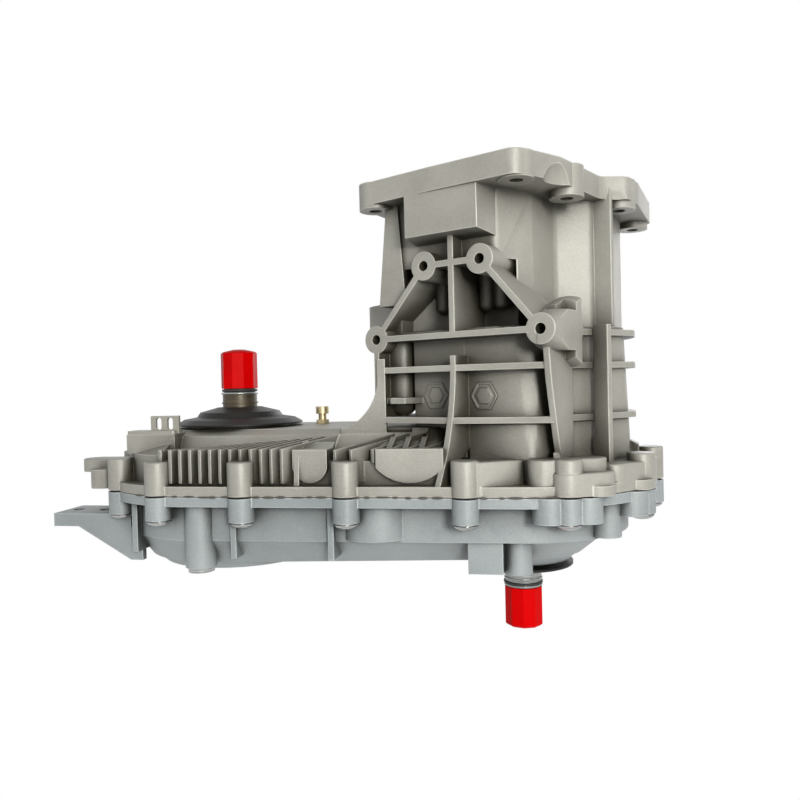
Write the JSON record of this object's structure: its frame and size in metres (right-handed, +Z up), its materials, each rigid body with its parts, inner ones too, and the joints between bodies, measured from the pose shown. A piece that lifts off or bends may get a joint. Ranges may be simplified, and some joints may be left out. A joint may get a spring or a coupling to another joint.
{
  "type": "transfer case",
  "caption": "Two-part cast transfer case on end, lugged flange on top, capped front and rear output shafts, gear train and clutch inside.",
  "frame": {"origin": "centre of the pilot register at the mounting face, on the main shaft axis", "axes": "+Z up along the main shaft towards the transmission; +X from the front output towards the main shaft; +Y away from the side seen in the picture"},
  "size_m": [0.5579, 0.2868, 0.396],
  "materials": {
    "cast_upper": "as-cast, lightly sandblasted",
    "cast_lower": "as-cast",
    "sealant": "matt",
    "bolt_steel": "zinc plated",
    "bracket_steel": "satin",
    "breather_metal": "satin",
    "motor_can": "satin",
    "black_plastic": "matt",
    "cap_red": "gloss",
    "shaft_steel": "dark, oiled",
    "shield_black": "satin",
    "seal_rubber": "matt",
    "gear_steel": "ground",
    "bush_bronze": "satin",
    "friction_lining": "matt",
    "plate_steel": "satin",
    "bearing_steel": "polished"
  },
  "bodies": {
    "case": {"front_housing": "cast_upper", "rear_housing": "cast_lower", "case_sealant": "sealant", "case_bolts": "bolt_steel", "dowel_pins": "bolt_steel", "drain_plug": "bolt_steel", "filler_plug": "bolt_steel", "breather": "breather_metal", "harness_bracket": "bracket_steel", "actuator_motor": "motor_can", "motor_connector": "black_plastic", "motor_screws": "bolt_steel", "cam_sleeve": "gear_steel", "idler_pin": "shaft_steel", "input_seal": "seal_rubber", "rear_output_seal": "seal_rubber", "front_output_seal": "seal_rubber", "main_upper_bearing_outer_ring": "bearing_steel", "main_lower_bearing_outer_ring": "bearing_steel", "front_upper_bearing_outer_ring": "bearing_steel", "front_lower_bearing_outer_ring": "bearing_steel"},
    "main_shaft": {"main_shaft": "shaft_steel", "clutch_hub": "gear_steel", "friction_plates": "friction_lining", "main_upper_bearing_inner_ring": "bearing_steel", "main_lower_bearing_inner_ring": "bearing_steel", "bearing_circlip": "plate_steel", "rear_output_sleeve": "shaft_steel", "rear_slinger": "shield_black"},
    "drive_gear": {"drive_gear": "gear_steel", "drive_gear_bush": "bush_bronze", "clutch_drum": "gear_steel", "steel_plates": "plate_steel"},
    "idler": {"idler_gear": "gear_steel", "idler_bush": "bush_bronze"},
    "front_output": {"driven_gear": "gear_steel", "front_output_shaft": "shaft_steel", "front_upper_bearing_inner_ring": "bearing_steel", "front_lower_bearing_inner_ring": "bearing_steel", "front_dust_shield": "shield_black", "front_output_sleeve": "shaft_steel"},
    "cam_ring": {"cam_ring": "gear_steel"},
    "pressure_plate": {"pressure_plate": "gear_steel", "pressure_thrust_bearing": "bush_bronze"},
    "motor_pinion": {"motor_pinion": "gear_steel"},
    "main_upper_balls": {"main_upper_bearing_balls": "bearing_steel"},
    "main_lower_balls": {"main_lower_bearing_balls": "bearing_steel"},
    "front_upper_balls": {"front_upper_bearing_balls": "bearing_steel"},
    "front_lower_balls": {"front_lower_bearing_balls": "bearing_steel"},
    "rear_cap": {"rear_output_cap": "cap_red"},
    "front_cap": {"front_output_cap": "cap_red"}
  },
  "joints": [
    {"name": "main_shaft_spin", "type": "hinge", "parent": "case", "child": "main_shaft", "pos_m": [0, 0, 0], "axis": [0, 0, 1], "continuous": true},
    {"name": "drive_gear_spin", "type": "hinge", "parent": "case", "child": "drive_gear", "pos_m": [0, 0, 0], "axis": [0, 0, 1], "continuous": true},
    {"name": "idler_spin", "type": "hinge", "parent": "case", "child": "idler", "pos_m": [-0.135, 0, 0], "axis": [0, 0, 1], "continuous": true},
    {"name": "front_output_spin", "type": "hinge", "parent": "case", "child": "front_output", "pos_m": [-0.27, 0, 0], "axis": [0, 0, 1], "continuous": true},
    {"name": "main_upper_cage_spin", "type": "hinge", "parent": "case", "child": "main_upper_balls", "pos_m": [0, 0, 0], "axis": [0, 0, 1], "continuous": true},
    {"name": "main_lower_cage_spin", "type": "hinge", "parent": "case", "child": "main_lower_balls", "pos_m": [0, 0, 0], "axis": [0, 0, 1], "continuous": true},
    {"name": "front_upper_cage_spin", "type": "hinge", "parent": "case", "child": "front_upper_balls", "pos_m": [-0.27, 0, 0], "axis": [0, 0, 1], "continuous": true},
    {"name": "front_lower_cage_spin", "type": "hinge", "parent": "case", "child": "front_lower_balls", "pos_m": [-0.27, 0, 0], "axis": [0, 0, 1], "continuous": true},
    {"name": "cam_ring_turn", "type": "hinge", "parent": "case", "child": "cam_ring", "pos_m": [0, 0, 0], "axis": [0, 0, 1], "range_deg": [0, 16]},
    {"name": "motor_pinion_turn", "type": "hinge", "parent": "case", "child": "motor_pinion", "pos_m": [-0.11388, 0.016, 0], "axis": [0, 0, 1], "range_deg": [-93, 0]},
    {"name": "pressure_plate_slide", "type": "slide", "parent": "case", "child": "pressure_plate", "axis": [0, 0, -1], "range_m": [0, 0.00101]},
    {"name": "rear_cap_slide", "type": "slide", "parent": "main_shaft", "child": "rear_cap", "axis": [0, 0, -1], "range_m": [0, 0.04]},
    {"name": "front_cap_slide", "type": "slide", "parent": "front_output", "child": "front_cap", "axis": [0, 0, 1], "range_m": [0, 0.04]}
  ],
  "couplings": [
    {"joint": "idler_spin", "follows": "drive_gear_spin", "ratio": -1},
    {"joint": "front_output_spin", "follows": "drive_gear_spin", "ratio": 1},
    {"joint": "front_upper_cage_spin", "follows": "drive_gear_spin", "ratio": 0.4},
    {"joint": "front_lower_cage_spin", "follows": "drive_gear_spin", "ratio": 0.4},
    {"joint": "main_upper_cage_spin", "follows": "main_shaft_spin", "ratio": 0.4},
    {"joint": "main_lower_cage_spin", "follows": "main_shaft_spin", "ratio": 0.4},
    {"joint": "motor_pinion_turn", "follows": "cam_ring_turn", "ratio": -5.7647},
    {"joint": "pressure_plate_slide", "follows": "cam_ring_turn", "m_per_rad": 0.003581}
  ]
}
